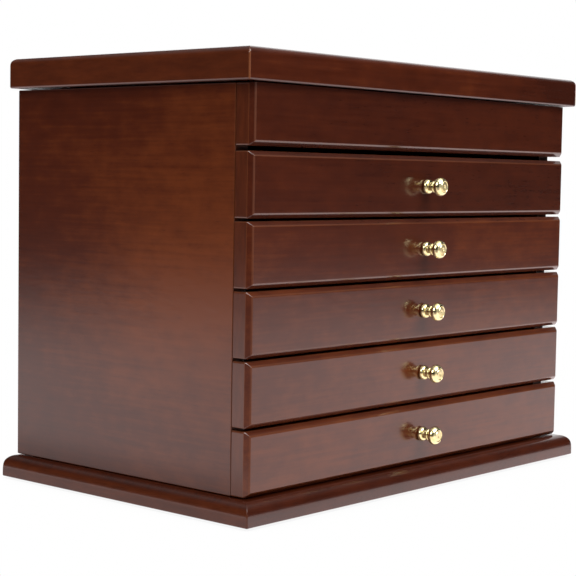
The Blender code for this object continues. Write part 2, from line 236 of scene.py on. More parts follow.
def stained_wood(name, grain, seed, warm=0.0, patch=None, end_axis=Z, wear_and_highlight=0.35,
                 round_over=False):
    """Dark red-brown stain under gloss lacquer. grain: the axis that it runs along. warm: over 0
    for a paler, warmer board. patch: (centre, radius, lift) of a paler or, with a negative lift,
    darker cloud. end_axis: the way that growth rings run across an end face. wear_and_highlight:
    how far the arrises are painted paler, partly stain worn off and partly a painted highlight.
    round_over: whether the board's long edges are rounded over."""
    mat, tree, shader = new_material(name, {
        "Specular IOR Level": 0.05, "Coat Weight": 1.0, "Coat Roughness": 0.165,
        "Coat IOR": 1.5})
    coords = add_node(tree, "ShaderNodeTexCoord")
    place = coords.outputs["Object"]
    cloud, streak, flecks = wood_figure(tree, place, grain, seed)
    end_grain, edge = surface_masks(tree, grain, coords, round_over)

    tone = calc(tree, "MULTIPLY_ADD", cloud, 0.80, warm + 0.01)
    tone = calc(tree, "MULTIPLY_ADD", streak, 0.34, tone)
    if patch:
        centre, radius, lift = patch
        far = add_node(tree, "ShaderNodeVectorMath", {0: place, 1: centre},
                       operation="DISTANCE").outputs["Value"]
        tone = calc(tree, "MULTIPLY_ADD", ease_between(tree, far, radius, 0.0), lift, tone)
    tone = calc(tree, "MULTIPLY_ADD", flecks, -0.09, tone)
    colour = ramp(tree, tone, ((0.30, STAIN_DARK), (0.55, STAIN_MID), (0.90, STAIN_WARM)))
    end_tone = grain_noise(tree, place, end_axis, 5.0, 260.0, 3.0, seed + 3.0)
    end_colour = ramp(tree, end_tone, ((0.3, END_DARK), (0.7, END_LIGHT)))
    colour = blend_colours(tree, calc(tree, "MULTIPLY", end_grain, 0.75), colour, end_colour)
    # the arrises are painted paler: partly worn stain, partly a painted highlight
    colour = blend_colours(tree, calc(tree, "MULTIPLY", edge, wear_and_highlight), colour, ARRIS_WEAR_AND_HIGHLIGHT)
    rough = ease_between(tree, streak, 0.2, 0.8, 0.36, 0.50)
    relief = calc(tree, "MULTIPLY_ADD", flecks, -0.7, streak)
    set_surface(tree, shader, colour, rough, relief, 0.00004)
    peel = grain_noise(tree, place, grain, 2.0, 170.0, 2.0, seed + 2.0)
    lacquer = calc(tree, "MULTIPLY_ADD", streak, 0.06, peel)
    connect(tree, shader.inputs["Coat Normal"], bump(tree, lacquer, 0.00003))
    return mat


def drawer_wood(name, grain, seed):
    """Lighter stained softwood of the drawer boxes and tray, under one thin satin coat."""
    mat, tree, shader = new_material(name, {
        "Specular IOR Level": 0.35, "Coat Weight": 0.25, "Coat Roughness": 0.32})
    coords = add_node(tree, "ShaderNodeTexCoord")
    place = coords.outputs["Object"]
    cloud, streak, flecks = wood_figure(tree, place, grain, seed)
    end_grain, edge = surface_masks(tree, grain, coords)
    tone = calc(tree, "MULTIPLY_ADD", cloud, 0.7, -0.05)
    tone = calc(tree, "MULTIPLY_ADD", streak, 0.55, tone)
    tone = calc(tree, "MULTIPLY_ADD", flecks, -0.22, tone)
    colour = ramp(tree, tone, ((0.25, BOX_DARK), (0.55, BOX_MID), (0.85, BOX_LIGHT)))
    colour = blend_colours(tree, calc(tree, "MULTIPLY", end_grain, 0.7), colour, BOX_END)
    colour = blend_colours(tree, calc(tree, "MULTIPLY", edge, 0.35), colour, BOX_RUBBED)
    rough = ease_between(tree, streak, 0.2, 0.8, 0.42, 0.62)
    relief = calc(tree, "MULTIPLY_ADD", flecks, -1.0, streak)
    set_surface(tree, shader, colour, rough, relief, 0.00008)
    return mat


TOOL_MARK_PITCH = 0.00022
KNOB_FACE_RADIUS = 0.0033
KNOB_FACE_Z = 0.0140       # beyond this, inside that radius, lies the knob's turned face
FACE_DULLING = 0.20


def polished_brass(name, turned):
    """Lacquered yellow brass with faint tool marks, round a turned piece's own Z axis or not."""
    mat, tree, shader = new_material(name, {
        "Metallic": 1.0, "Coat Weight": 0.3, "Coat Roughness": 0.06})
    place = object_place(tree)
    tarnish = grain_noise(tree, place, None, 1.0, 260.0, 4.0, 1.0)
    colour = ramp(tree, tarnish, ((0.30, (0.72, 0.60, 0.27)), (0.55, (0.84, 0.75, 0.42)),
                                  (0.80, (0.90, 0.84, 0.54))))
    smear = grain_noise(tree, place, None, 1.0, 700.0, 3.0, 4.0)
    gloss = ease_between(tree, smear, 0.3, 0.7, 0.14, 0.24)
    if turned:
        parts = add_node(tree, "ShaderNodeSeparateXYZ", {0: place})
        squares = [calc(tree, "POWER", parts.outputs[axis], 2.0) for axis in (X, Y)]
        radius = calc(tree, "SQRT", calc(tree, "ADD", *squares))
        travel = calc(tree, "ADD", radius, parts.outputs[2])
        inside = ease_between(tree, radius, KNOB_FACE_RADIUS, KNOB_FACE_RADIUS - 0.3 * MM)
        beyond = ease_between(tree, parts.outputs[2], KNOB_FACE_Z, KNOB_FACE_Z + 0.6 * MM)
        face = calc(tree, "MULTIPLY", inside, beyond)
        gloss = calc(tree, "MULTIPLY_ADD", face, FACE_DULLING, gloss)
        turns = calc(tree, "MULTIPLY", travel, 2 * math.pi / TOOL_MARK_PITCH)
        marks = calc(tree, "MULTIPLY_ADD", calc(tree, "SINE", turns), 0.35, smear)
    else:
        marks = grain_noise(tree, place, X, 30.0, 3200.0, 2.0, 6.0)
    set_surface(tree, shader, colour, gloss, marks, 0.000004)
    return mat


def zinc_steel():
    """Zinc plate with a faint yellowish bloom."""
    mat, tree, shader = new_material("zinc_steel_look", {"Metallic": 1.0})
    place = object_place(tree)
    bloom = grain_noise(tree, place, None, 1.0, 900.0, 4.0, 2.0)
    colour = ramp(tree, bloom, ((0.3, (0.42, 0.43, 0.42)), (0.6, (0.62, 0.62, 0.60)),
                                (0.8, (0.66, 0.62, 0.50))))
    rough = ease_between(tree, bloom, 0.3, 0.7, 0.25, 0.45)
    set_surface(tree, shader, colour, rough, bloom, 0.00002)
    return mat


def velvet():
    """Short wine-red pile: brushed patches, a fine nap and a pale sheen at glancing angles."""
    mat, tree, shader = new_material("velvet_look", {
        "Specular IOR Level": 0.1, "Sheen Weight": 0.55, "Sheen Roughness": 0.35,
        "Sheen Tint": (0.95, 0.42, 0.46, 1.0)})
    place = object_place(tree)
    brushed = grain_noise(tree, place, Y, 2.2, 45.0, 4.0, 3.0)
    nap = grain_noise(tree, place, None, 1.0, 2600.0, 2.0, 8.0)
    tone = calc(tree, "MULTIPLY_ADD", nap, 0.5, calc(tree, "MULTIPLY", brushed, 0.6))
    colour = ramp(tree, tone, ((0.30, (0.050, 0.004, 0.010)), (0.55, (0.115, 0.009, 0.020)),
                               (0.80, (0.190, 0.018, 0.036))))
    rough = ease_between(tree, nap, 0.2, 0.8, 0.80, 1.0)
    relief = calc(tree, "MULTIPLY_ADD", nap, 0.3, brushed)
    set_surface(tree, shader, colour, rough, relief, 0.0005)
    return mat


def base_felt():
    """Dark pressed felt: fine fibres, matted in patches."""
    mat, tree, shader = new_material("felt_look", {
        "Specular IOR Level": 0.05, "Sheen Weight": 0.3, "Sheen Roughness": 0.6})
    place = object_place(tree)
    fibres = grain_noise(tree, place, X, 3.0, 1500.0, 5.0, 2.0)
    matted = grain_noise(tree, place, None, 1.0, 90.0, 3.0, 7.0)
    tone = calc(tree, "MULTIPLY_ADD", matted, 0.4, calc(tree, "MULTIPLY", fibres, 0.6))
    colour = ramp(tree, tone, ((0.3, (0.012, 0.007, 0.006)), (0.7, (0.040, 0.024, 0.020))))
    rough = ease_between(tree, fibres, 0.2, 0.8, 0.9, 1.0)
    set_surface(tree, shader, colour, rough, fibres, 0.0002)
    return mat


def mirror_glass():
    """Silvered glass with faint wiping smears."""
    mat, tree, shader = new_material("mirror_look", {"Metallic": 1.0})
    place = object_place(tree)
    smear = grain_noise(tree, place, X, 5.0, 30.0, 5.0, 2.0)
    colour = ramp(tree, smear, ((0.3, (0.80, 0.83, 0.83)), (0.7, (0.88, 0.90, 0.90))))
    connect(tree, shader.inputs["Base Color"], colour)
    connect(tree, shader.inputs["Roughness"], ease_between(tree, smear, 0.45, 0.75, 0.01, 0.06))
    return mat


# ---------- mesh helpers
def new_object(name, data):
    """An object in the scene, of a mesh, light or camera."""
    obj = bpy.data.objects.new(name, data)
    bpy.context.scene.collection.objects.link(obj)
    return obj


def mesh_object(name, bm):
    """An object of what bm holds; bm is freed."""
    mesh = bpy.data.meshes.new(name)
    bm.to_mesh(mesh)
    bm.free()
    return new_object(name, mesh)


def box_object(name, low, high):
    """A box in row-frame coordinates, its object at the origin."""
    bm = bmesh.new()
    bmesh.ops.create_cube(bm, size=1.0)
    bmesh.ops.scale(bm, vec=Vector(high) - Vector(low), verts=bm.verts)
    bmesh.ops.translate(bm, vec=(Vector(low) + Vector(high)) / 2, verts=bm.verts)
    return mesh_object(name, bm)


def bridge(bm, first, second):
    """Faces between two closed rings of vertices, in order round them."""
    faces = []
    for index in range(len(first)):
        after = (index + 1) % len(first)
        faces.append(bm.faces.new((first[index], first[after], second[after], second[index])))
    return faces


def bevel(obj, width, segments):
    """Round every edge sharper than 30 degrees."""
    modifier = obj.modifiers.new("bevel", "BEVEL")
    modifier.width = width
    modifier.segments = segments
    modifier.limit_method = "ANGLE"
    modifier.angle_limit = math.radians(30)


def apply_modifiers(obj):
    """Turn what the modifiers give into the object's mesh."""
    graph = bpy.context.evaluated_depsgraph_get()
    mesh = bpy.data.meshes.new_from_object(obj.evaluated_get(graph))
    mesh.name = obj.name
    obj.modifiers.clear()
    obj.data = mesh
    return mesh


def weight_normals(obj):
    """Weight normals by area, but keep creases."""
    weighted = obj.modifiers.new("even_normals", "WEIGHTED_NORMAL")
    weighted.keep_sharp = True


def settle(obj, cutters=(), crease=40.0):
    """Cut, apply all modifiers and shade smooth but for creases over so many degrees."""
    for cutter in cutters:
        modifier = obj.modifiers.new("cut", "BOOLEAN")
        modifier.operation = "DIFFERENCE"
        modifier.object = cutter
    mesh = apply_modifiers(obj)
    mesh.shade_smooth()
    mesh.set_sharp_from_angle(angle=math.radians(crease))
    for cutter in cutters:
        bpy.data.objects.remove(cutter, do_unlink=True)
    weight_normals(obj)


def place_piece(obj, body, mat, slot, *nodes):
    """Give a piece its material and body, and let it stand for CAD nodes."""
    obj.data.materials.clear()
    for each in mat if isinstance(mat, (list, tuple)) else [mat]:
        obj.data.materials.append(each)
    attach(obj, body)
    if nodes:
        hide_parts(*nodes)


def dress(node, mat):
    """A finished material on a CAD node that stays as it is."""
    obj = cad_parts[node]
    obj.data.materials.clear()
    obj.data.materials.append(mat)


EASE_SEGMENTS = 4


def eased_board(node, body, mat, slot, ease, cutters=()):
    """A plain board inside its CAD node's box, all edges eased."""
    low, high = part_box(node)
    board = box_object(f"{node}_finished", low, high)
    bevel(board, ease, EASE_SEGMENTS)
    settle(board, cutters)
    place_piece(board, body, mat, slot, node)


def turned_mesh(name, stretches, steps):
    """A lathe mesh round Z. stretches: lists of (radius, height) in millimetres, each a smooth
    curve, that meet in creases."""
    outline = []
    for points in stretches:
        curve = spline(points)
        outline += curve if not outline else curve[1:]
    bm = bmesh.new()
    corners = [bm.verts.new((radius * MM, 0.0, height * MM)) for radius, height in outline]
    for first, second in zip(corners, corners[1:]):
        bm.edges.new((first, second))
    obj = mesh_object(name, bm)
    screw = obj.modifiers.new("turned", "SCREW")
    screw.steps = steps
    screw.render_steps = steps
    screw.use_merge_vertices = True
    screw.merge_threshold = 0.00001
    return obj


SPLINE_PARTS = 6


def spline(points):
    """Catmull-Rom curve through (radius, height) points; a pair of points is a straight line."""
    if len(points) == 2:
        return list(points)
    ends = [points[0], *points, points[-1]]
    curve = [points[0]]
    for a, b, c, d in zip(ends, ends[1:], ends[2:], ends[3:]):
        for step in range(1, SPLINE_PARTS + 1):
            t = step / SPLINE_PARTS
            weights = (-t + 2 * t ** 2 - t ** 3, 2 - 5 * t ** 2 + 3 * t ** 3,
                       t + 4 * t ** 2 - 3 * t ** 3, -t ** 2 + t ** 3)
            curve.append(tuple(0.5 * sum(w * p[axis] for w, p in zip(weights, (a, b, c, d)))
                               for axis in (0, 1)))
    return curve


def arc(centre, radius, start, stop, parts):
    """Points of an arc in a plane, its angles in degrees."""
    points = []
    for step in range(parts + 1):
        angle = math.radians(start + (stop - start) * step / parts)
        points.append((centre[0] + radius * math.cos(angle), centre[1] + radius * math.sin(angle)))
    return points


def mitred_ring(name, low, high, profile, cuts=1):
    """A closed moulding round a rectangle. profile: (inset, z) points going round its section.
    cuts: parts of each side. Sides along Y take the second material, if there is one."""
    bm = bmesh.new()
    rings = []
    for inset, z in profile:
        corners = ((low.x + inset, low.y + inset), (high.x - inset, low.y + inset),
                   (high.x - inset, high.y - inset), (low.x + inset, high.y - inset))
        ring = []
        for (x0, y0), (x1, y1) in zip(corners, corners[1:] + corners[:1]):
            for step in range(cuts):
                share = step / cuts
                ring.append(bm.verts.new((x0 + share * (x1 - x0), y0 + share * (y1 - y0), z)))
        rings.append(ring)
    for first, second in zip(rings, rings[1:] + rings[:1]):
        for index, face in enumerate(bridge(bm, first, second)):
            face.material_index = (index // cuts) % 2
    bmesh.ops.recalc_face_normals(bm, faces=bm.faces)
    return mesh_object(name, bm)


# ---------- stained boards
CORNER_PARTS = 5
ARRIS_PARTS = 4
ROUND_OVER_PARTS = 16


def moulded_board(name, low, high, profile, corner, up=Z, plain_top=False):
    """A solid board whose edge follows profile: (inset, level) points, level along the up axis.
    The outline's corners are rounded, less so where it is inset, down to the mitre of a moulding.
    plain_top keeps the outline's far side straight."""
    across, along = [axis for axis in (X, Y, Z) if axis != up]
    bm = bmesh.new()
    rings = []
    for inset, level in profile:
        radius = max(corner - inset, MITRE_ROUND)
        left, right = low[across] + inset + radius, high[across] - inset - radius
        near = low[along] + inset + radius
        far = high[along] - radius - (0.0 if plain_top else inset)
        ring = []
        for centre, start in (((left, near), 180), ((right, near), 270), ((right, far), 0),
                              ((left, far), 90)):
            for point in arc(centre, radius, start, start + 90, CORNER_PARTS):
                place = [level] * 3
                place[across], place[along] = point
                ring.append(bm.verts.new(place))
        rings.append(ring)
    for first, second in zip(rings, rings[1:]):
        bridge(bm, first, second)
    bm.faces.new(rings[0])
    bm.faces.new(rings[-1])
    bmesh.ops.recalc_face_normals(bm, faces=bm.faces)
    return mesh_object(name, bm)


def rounded_path(corners):
    """Points along straight runs, whose corners (inset, level, radius) are rounded by arcs."""
    path = [corners[0][:2]]
    for before, (*place, radius), after in zip(corners, corners[1:], corners[2:]):
        corner = Vector(place)
        back = (Vector(before[:2]) - corner).normalized()
        on = (Vector(after[:2]) - corner).normalized()
        if radius == 0.0:
            path.append(tuple(corner))
            continue
        half = back.angle(on) / 2
        centre = corner + (back + on).normalized() * (radius / math.sin(half))
        start = corner + back * (radius / math.tan(half)) - centre
        stop = corner + on * (radius / math.tan(half)) - centre
        for step in range(ARRIS_PARTS + 1):
            spoke = start.lerp(stop, step / ARRIS_PARTS).normalized()
            path.append(tuple(centre + spoke * radius))
    path.append(corners[-1][:2])
    return path


def build_round_over_board(node, body, mat, reach, drop, onset, lower, cutters=()):
    """Lid or base board: a round-over above, reach wide and drop high, and an eased lower edge.
    onset: how gently the round-over leaves the upright edge, 1 being a plain ellipse."""
    low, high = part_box(node)
    profile = arc((lower, low.z + lower), lower, 270, 180, CORNER_PARTS)
    for step in range(ROUND_OVER_PARTS + 1):
        angle = math.radians(90) * step / ROUND_OVER_PARTS
        inset = reach * (1 - math.cos(angle)) ** onset
        profile.append((inset, high.z - drop * (1 - math.sin(angle))))
    board = moulded_board(f"{node}_finished", low, high, profile, CORNER_EASE)
    settle(board, cutters, crease=30.0)
    place_piece(board, body, mat, "stained_wood", node)


def plate_levels():
    """Lower and upper plate surfaces of the closed hinges, either side of the pin's axis."""
    low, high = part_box("hinge_pin_left")
    axis_z = (low.z + high.z) / 2
    reach = GAP + LEAF_THICK
    return axis_z - reach, axis_z + reach


PLATE_BOTTOM_Z, PLATE_TOP_Z = plate_levels()


def hinge_recesses(kind, board):
    """Room for both hinge leaves of a kind, box or lid, in the board that they are let into."""
    board_low, board_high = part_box(board)
    if kind == "lid":
        z_low, z_high = board_low.z - RECESS_OVERCUT, PLATE_TOP_Z + GAP
    else:
        z_low, z_high = PLATE_BOTTOM_Z - GAP, board_high.z + RECESS_OVERCUT
    recesses = []
    for word in ("left", "right"):
        low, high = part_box(f"{kind}_hinge_leaf_{word}")
        recesses.append(box_object(f"recess_{word}", (low.x - GAP, low.y - GAP, z_low),
                                   (high.x + GAP, board_high.y + RECESS_OVERCUT, z_high)))
    return recesses


def build_front(node, body, seed, warm, top_chamfer=True):
    """Drawer front or false front: chamfered round its face, with softened arrises. The false
    front has no chamfer at its top, under the lid."""
    low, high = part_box(node)
    profile = rounded_path((
        (FRONT_BACK_EASE, high.y, 0.0), (0.0, high.y - FRONT_BACK_EASE, 0.0),
        (0.0, low.y + FRONT_CHAMFER, FRONT_OUTER_ROUND),
        (FRONT_INNER_REACH, low.y + FRONT_INNER_RISE, FRONT_INNER_ROUND),
        (FRONT_CHAMFER, low.y, FRONT_INNER_ROUND),
        (FRONT_CHAMFER + 2 * FRONT_INNER_ROUND, low.y, 0.0)))
    board = moulded_board(f"{node}_finished", low, high, profile, FRONT_CORNER, up=Y,
                          plain_top=not top_chamfer)
    settle(board, crease=30.0)
    mat = stained_wood(f"{node}_look", X, seed, warm)
    place_piece(board, body, mat, "stained_wood", node)


def groove_cutters(low, high):
    """The grooves that the drawer bottoms run in, in the side panel with the box low, high."""
    inner, side = (low.x, 1) if low.x > 0 else (high.x, -1)
    cutters = []
    for number in DRAWERS:
        lug_low, lug_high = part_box(f"drawer_{number}_bottom")
        ends = sorted((inner - side * OVERCUT, side * (lug_high.x + GROOVE_PLAY)))
        cutters.append(box_object(
            f"groove_{number}", (ends[0], low.y - OVERCUT, lug_low.z - GROOVE_PLAY),
            (ends[1], lug_high.y + GROOVE_END_PLAY, lug_high.z + GROOVE_PLAY)))
    return cutters


# for each side panel, its grain's seed and a paler patch: centre, radius, lift
SIDE_PANELS = {"left": (21.0, ((-0.1745, -0.080, 0.145), 0.20, 0.30)),
               "right": (27.0, ((0.1745, 0.03, 0.12), 0.12, 0.28))}


def build_carcass():
    """Base board, side and back panels, and the false front under the lid."""
    mat = stained_wood("base_board_look", X, 3.0, -0.20, end_axis=Y, wear_and_highlight=0.15,
                       round_over=True)
    build_round_over_board("base_board", "chest", mat, BASE_ROUND, BASE_ROUND_DROP,
                           BASE_ROUND_ONSET, BASE_LOWER_ROUND)
    for word, (seed, patch) in SIDE_PANELS.items():
        node = f"side_panel_{word}"
        mat = stained_wood(f"{node}_look", Y, seed, -0.04, patch)
        eased_board(node, "chest", mat, "stained_wood", PANEL_EASE, groove_cutters(*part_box(node)))
    recesses = hinge_recesses("box", "back_panel")
    eased_board("back_panel", "chest", stained_wood("back_panel_look", X, 33.0, -0.06),
                "stained_wood", THIN_EASE, recesses)
    # the false front is painted darker: painted shade under the lid's overhang
    build_front("top_rail", "chest", 41.0, -0.20, top_chamfer=False)


def build_lid():
    """Lid board, darker towards its front right corner, with the mirror and its frame."""
    recesses = hinge_recesses("lid", "lid_board")
    low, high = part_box("lid_board")
    patch = ((high.x, low.y, low.z), 0.16, -0.34)
    # much of the lid's paler arris tint is a painted highlight on its upright corners
    mat = stained_wood("lid_board_look", X, 12.0, -0.05, patch, end_axis=Y, wear_and_highlight=0.8,
                       round_over=True)
    build_round_over_board("lid_board", "lid", mat, LID_ROUND, LID_ROUND, 1.0, LOWER_EASE,
                           recesses)
    build_mirror_frame()
    dress("mirror", mirror_glass())


def build_mirror_frame():
    """A moulded frame, mitred at the corners, that laps over the mirror's edge."""
    low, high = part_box("mirror_frame")
    glass_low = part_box("mirror")[0]
    width = (glass_low.x - low.x) + 3 * MM
    rebate = glass_low.x - low.x - GAP
    back = high.z
    seat = glass_low.z - GAP
    face = low.z
    flute = face + 0.5 * MM
    outer_round = 2.2 * MM
    inner_round = 1.5 * MM
    profile = [(0.0, back), (0.0, face + outer_round)]
    profile += arc((outer_round, face + outer_round), outer_round, 180, 270, 6)
    profile += [(4.0 * MM, face), (4.6 * MM, flute)]
    profile += [(width - 5.0 * MM, flute), (width - 4.4 * MM, face)]
    profile += arc((width - inner_round, face + inner_round), inner_round, 270, 360, 5)
    profile += [(width, seat), (rebate, seat), (rebate, back)]
    piece = mitred_ring("mirror_frame_finished", low, high, profile)
    settle(piece)
    mats = [stained_wood("mirror_frame_long_look", X, 51.0),
            stained_wood("mirror_frame_short_look", Y, 52.0)]
    place_piece(piece, "lid", mats, "stained_wood", "mirror_frame")


# ---------- brass and steel
# Turned outlines in millimetres: (radius, distance out from the drawer front).
KNOB_STRETCHES = (
    ((0.0, 14.90), (0.5, 14.93), (0.9, 15.12), (1.3, 15.27), (2.2, 15.24), (3.05, 15.16)),
    ((3.05, 15.16), (3.25, 14.95), (3.50, 14.78), (3.75, 14.90), (3.95, 15.02)),
    ((3.95, 15.02), (4.6, 14.68), (5.3, 14.12), (5.95, 13.2), (6.28, 12.2), (6.27, 11.3),
     (5.95, 10.35), (5.2, 9.40), (4.2, 8.80), (3.4, 8.45), (3.05, 8.2)),
    ((3.05, 8.2), (3.4, 8.1), (3.9, 7.75), (4.12, 7.2), (4.1, 6.7), (3.8, 6.2), (3.4, 5.95),
     (3.0, 5.85)),
    ((3.0, 5.85), (2.9, 5.2), (2.9, 4.4), (3.05, 3.75)),
    ((3.05, 3.75), (3.7, 3.6), (4.35, 3.15), (4.8, 2.45), (4.98, 1.7), (4.93, 1.1), (4.7, 0.6),
     (4.3, 0.3)),
    ((4.3, 0.3), (2.2, 0.3)),
    ((2.2, 0.3), (2.2, 6.0)),
    ((2.2, 6.0), (0.0, 6.0)),
)
KNOB_TURN = 0.37           # radians that each knob is turned on from the one above
SCREW_SHANK = ((0.0, 5.6), (1.6, 5.4), (1.9, 5.0))
HINGE_SCREW_HEAD = (((0.0, 0.14), (0.8, 0.12), (1.5, 0.05), (1.8, -0.04)),
                    ((1.8, -0.04), (1.8, -0.3)), ((1.8, -0.3), (0.0, -0.3)))
HINGE_SCREW_SPACING = 0.010
HINGE_SCREW_INSET = 4.6 * MM   # from a leaf's free edge
HINGE_SCREW_TURN = 0.8     # radians that each slot is turned on from the one before


def build_knobs():
    """One turned knob and one cross-slotted machine screw, repeated on every drawer front."""
    low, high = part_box("drawer_1_front")
    seat = -(high.y - low.y + GAP) / MM
    head = ((1.9, seat), (3.8, seat))
    dome = ((3.8, seat), (3.75, seat - 0.7), (3.3, seat - 1.4), (2.2, seat - 1.95),
            (0.0, seat - 2.2))
    knob = turned_mesh("knob_turning", KNOB_STRETCHES, 96)
    settle(knob, crease=28.0)
    screw = turned_mesh("screw_turning", (SCREW_SHANK, (SCREW_SHANK[-1], head[0]), head, dome), 40)
    slots = [box_object(f"slot_{index}", (-x, -y, (seat - 2.4) * MM), (x, y, (seat - 1.2) * MM))
             for index, (x, y) in enumerate(((2.0 * MM, 0.4 * MM), (0.4 * MM, 2.0 * MM)))]
    settle(screw, slots, crease=28.0)
    brass = polished_brass("knob_brass_look", turned=True)
    steel = zinc_steel()
    for number in DRAWERS:
        low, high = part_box(f"drawer_{number}_front")
        for source, node, mat, slot in ((knob, "knob", brass, "polished_brass"),
                                        (screw, "knob_screw", steel, "zinc_steel")):
            piece = new_object(f"drawer_{number}_{node}_finished", source.data)
            turn = (Matrix.Rotation(math.pi / 2, 4, "X")
                    @ Matrix.Rotation(KNOB_TURN * number, 4, "Z"))
            piece.matrix_world = Matrix.Translation((0.0, low.y, (low.z + high.z) / 2)) @ turn
            weight_normals(piece)
            place_piece(piece, f"drawer_{number}", mat, slot, f"drawer_{number}_{node}")
    for source in (knob, screw):
        bpy.data.objects.remove(source, do_unlink=True)


def build_hinges():
    """Brass on the leaves and pins, and three slotted screw heads in each leaf."""
    brass = polished_brass("hinge_brass_look", turned=False)
    head = turned_mesh("hinge_screw_head", HINGE_SCREW_HEAD, 32)
    slot = box_object("slot", (-2.4 * MM, -0.2 * MM, -0.12 * MM), (2.4 * MM, 0.2 * MM, 0.3 * MM))
    settle(head, [slot], crease=28.0)
    for word in ("left", "right"):
        dress(f"hinge_pin_{word}", brass)
        low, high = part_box(f"box_hinge_leaf_{word}")
        centre_x = (low.x + high.x) / 2
        centre_y = low.y + HINGE_SCREW_INSET
        for kind, body, z, flip in (("box", "chest", PLATE_BOTTOM_Z + LEAF_THICK, 0.0),
                                    ("lid", "lid", PLATE_TOP_Z - LEAF_THICK, math.pi)):
            dress(f"{kind}_hinge_leaf_{word}", brass)
            for index in range(3):
                piece = new_object(f"{kind}_hinge_screw_{word}_{index + 1}", head.data)
                piece.location = (centre_x + (index - 1) * HINGE_SCREW_SPACING, centre_y, z)
                piece.rotation_euler = (flip, 0.0, HINGE_SCREW_TURN * index + 0.3)
                place_piece(piece, body, brass, "polished_brass")
    bpy.data.objects.remove(head, do_unlink=True)


# ---------- drawer boxes and tray
# painted light: the fronts are paler and warmer towards the bottom, where the floor lights them,
# and darker at the top, under the lid
FRONT_PAINTED_SHADING = {1: -0.15, 2: -0.04, 3: 0.0, 4: 0.04, 5: 0.07}


def build_drawer(number):
    """A drawer's front and the plain boards of its box."""
    body = f"drawer_{number}"
    build_front(f"{body}_front", body, 60.0 + 7.0 * number, FRONT_PAINTED_SHADING[number])
    along_y = drawer_wood(f"{body}_side_look", Y, 2.0 * number)
    along_x = drawer_wood(f"{body}_back_look", X, 2.0 * number + 1.0)
    for node, mat, ease in (("side_left", along_y, BOX_EASE), ("side_right", along_y, BOX_EASE),
                            ("back", along_x, BOX_EASE), ("bottom", along_x, THIN_EASE)):
        eased_board(f"{body}_{node}", body, mat, "drawer_wood", ease)


WALL_VELVET = 1.2 * MM     # thickness of the linings on walls
RIM_DROP = 3 * MM          # from the top of a wall down to its lining
PAD_RIPPLE = 0.25          # unevenness of a pad, as a share of its crown
RIPPLE_SCALE = 35          # a metre
RIM_SHARE = 0.55           # of a pad's height, that its rim rounds off


def crowned_pad(name, low, high, cell, compartments, crown, rise):
    """A closed pad in cells of that size, flat below. Its top swells by crown over each
    compartment (x0, y0, x1, y1) and stands at the pad's full height less crown elsewhere; rise is
    the width of its rounded rim."""
    bm = bmesh.new()
    columns = round((high.x - low.x) / cell)
    rows = round((high.y - low.y) / cell)
    top = []
    bottom = []
    for row in range(rows + 1):
        for column in range(columns + 1):
            x = low.x + (high.x - low.x) * column / columns
            y = low.y + (high.y - low.y) * row / rows
            z = high.z - crown
            for x0, y0, x1, y1 in compartments:
                u = abs(2 * (x - x0) / (x1 - x0) - 1)     # 0 in its middle, 1 at its sides
                v = abs(2 * (y - y0) / (y1 - y0) - 1)
                if u < 1 and v < 1:
                    spot = (x * RIPPLE_SCALE, y * RIPPLE_SCALE, high.z * 50)
                    ripple = 1 + PAD_RIPPLE * noise.noise(spot)
                    z += crown * ripple * ((1 - u ** 6) * (1 - v ** 6)) ** 0.5
            edge = min(x - low.x, high.x - x, y - low.y, high.y - y)
            if edge < rise:
                z -= RIM_SHARE * (z - low.z) * (1 - edge / rise) ** 2
            top.append(bm.verts.new((x, y, z)))
            bottom.append(bm.verts.new((x, y, low.z)))
    wide = columns + 1
    for row in range(rows):
        for column in range(columns):
            corner = row * wide + column
            loop = (corner, corner + 1, corner + wide + 1, corner + wide)
            bm.faces.new([top[index] for index in loop])
            bm.faces.new([bottom[index] for index in reversed(loop)])
    rim = (list(range(columns))
           + [row * wide + columns for row in range(rows)]
           + [rows * wide + column for column in range(columns, 0, -1)]
           + [row * wide for row in range(rows, 0, -1)])
    bridge(bm, [bottom[index] for index in rim], [top[index] for index in rim])
    bmesh.ops.recalc_face_normals(bm, faces=bm.faces)
    pad = mesh_object(name, bm)
    pad.data.shade_smooth()
    return pad


def wall_lining(name, low, high):
    """Padded velvet strip round the inside of a box, from low.z up to its rounded rim."""
    half = WALL_VELVET / 2
    profile = [(0.0, low.z), (0.0, high.z - half)]
    profile += arc((half, high.z - half), half, 180, 0, 6)[1:]
    profile += [(WALL_VELVET * 1.15, (low.z + high.z) / 2), (WALL_VELVET, low.z)]
    piece = mitred_ring(name, low, high, profile, cuts=24)
    piece.data.shade_smooth()
    for vertex in piece.data.vertices:
        place = vertex.co
        vertex.co.z += 0.25 * MM * noise.noise((place.x * 40, place.y * 40, 3.0))
    return piece


def build_linings(cloth):
    """A pad on each drawer's bottom and velvet up its walls."""
    for number in DRAWERS:
        body = f"drawer_{number}"
        low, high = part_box(f"{body}_lining")
        room = (low.x, low.y, high.x, high.y)
        pad = crowned_pad(f"{body}_pad", low, high, cell=4 * MM, compartments=[room],
                          crown=0.9 * MM, rise=3 * MM)
        place_piece(pad, body, cloth, "velvet", f"{body}_lining")
        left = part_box(f"{body}_side_left")[1]
        wall = wall_lining(f"{body}_wall_velvet",
                           Vector((left.x + 0.2 * MM, low.y - 0.3 * MM, high.z - 0.6 * MM)),
                           Vector((-left.x - 0.2 * MM, high.y + 0.3 * MM, left.z - RIM_DROP)))
        place_piece(wall, body, cloth, "velvet")


def build_dividers():
    """The tray's dividers, cut short where their ends meet the velvet on the walls."""
    for node, axis, seed in (("tray_divider_long", Y, 35.0), ("tray_divider_cross", X, 37.0)):
        low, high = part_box(node)
        high[axis] -= WALL_VELVET
        if axis == Y:
            low.y += WALL_VELVET
        board = box_object(f"{node}_finished", low, high)
        bevel(board, 1.4 * MM, 5)
        settle(board)
        place_piece(board, "chest", drawer_wood(f"{node}_look", axis, seed), "drawer_wood", node)


